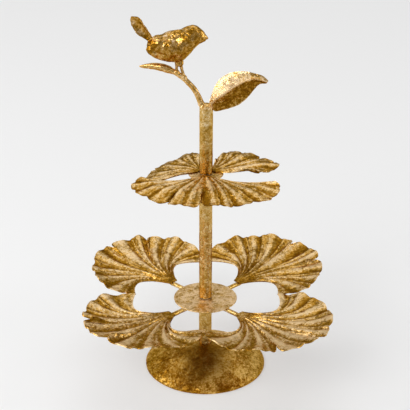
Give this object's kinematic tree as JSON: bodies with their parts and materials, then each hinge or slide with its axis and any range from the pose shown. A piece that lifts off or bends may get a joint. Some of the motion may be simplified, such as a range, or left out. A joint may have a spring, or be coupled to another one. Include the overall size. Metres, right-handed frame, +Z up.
{
  "type": "tiered cake stand",
  "caption": "Two-tier serving stand: dished foot, screwed round post, ribbed fan leaves on two discs, and a forked twig with a bird and a folded leaf on top.",
  "frame": {"origin": "centre of the foot's resting plane, on the post's axis", "axes": "+Z up along the post; -Y towards the front, where two lower leaves meet and one upper leaf points; the bird looks towards +X"},
  "size_m": [0.3076, 0.3076, 0.4554],
  "materials": {
    "gilt_base": "mottled antique gold leaf, darkest towards the post and paler at the rim",
    "gilt_post": "antique gold leaf, crinkled, semi-gloss",
    "gilt_leaf": "antique gold leaf, dark in the grooves and rubbed pale on the ribs",
    "gilt_bird": "antique gold leaf, crinkled, brighter on the high spots",
    "plain_steel": "turned steel",
    "zinc_steel": "bright zinc plate"
  },
  "bodies": {
    "foot": {"base_dish": "gilt_base", "base_washer": "zinc_steel", "base_lock_washer": "zinc_steel", "base_bolt": "zinc_steel", "lower_post": "gilt_post", "lower_foot_plug": "plain_steel", "lower_head_plug": "plain_steel"},
    "lower_tier": {"lower_disc_plate": "gilt_post", "lower_arm_back_right": "gilt_post", "lower_arm_back_left": "gilt_post", "lower_arm_front_left": "gilt_post", "lower_arm_front_right": "gilt_post", "lower_leaf_back_right": "gilt_leaf", "lower_leaf_back_left": "gilt_leaf", "lower_leaf_front_left": "gilt_leaf", "lower_leaf_front_right": "gilt_leaf"},
    "lower_screw": {"lower_stud": "plain_steel"},
    "middle_section": {"middle_post": "gilt_post", "middle_foot_plug": "plain_steel", "middle_head_plug": "plain_steel"},
    "upper_tier": {"upper_disc_plate": "gilt_post", "upper_leaf_front": "gilt_leaf", "upper_leaf_back_right": "gilt_leaf", "upper_leaf_back_left": "gilt_leaf"},
    "upper_screw": {"upper_stud": "plain_steel"},
    "finial": {"top_post": "gilt_post", "top_foot_plug": "plain_steel", "forked_twig": "gilt_bird", "perch_leaf": "gilt_leaf", "folded_leaf": "gilt_leaf", "bird": "gilt_bird", "bird_leg_rear": "gilt_bird", "bird_leg_front": "gilt_bird"}
  },
  "joints": [
    {"name": "lower_tier_swivel", "type": "hinge", "parent": "foot", "child": "lower_tier", "pos_m": [0, 0, 0.0935], "axis": [0, 0, 1], "continuous": true},
    {"name": "middle_unscrew", "type": "hinge", "parent": "foot", "child": "lower_screw", "pos_m": [0, 0, 0.0935], "axis": [0, 0, 1], "range_deg": [0, 2520]},
    {"name": "middle_lift", "type": "slide", "parent": "lower_screw", "child": "middle_section", "axis": [0, 0, 1], "range_m": [0, 0.00875]},
    {"name": "upper_tier_swivel", "type": "hinge", "parent": "middle_section", "child": "upper_tier", "pos_m": [0, 0, 0.2616], "axis": [0, 0, 1], "continuous": true},
    {"name": "finial_unscrew", "type": "hinge", "parent": "middle_section", "child": "upper_screw", "pos_m": [0, 0, 0.2616], "axis": [0, 0, 1], "range_deg": [0, 2520]},
    {"name": "finial_lift", "type": "slide", "parent": "upper_screw", "child": "finial", "axis": [0, 0, 1], "range_m": [0, 0.00875]}
  ],
  "couplings": [
    {"joint": "middle_unscrew", "follows": "middle_lift", "rad_per_m": 5026.5},
    {"joint": "finial_unscrew", "follows": "finial_lift", "rad_per_m": 5026.5}
  ]
}
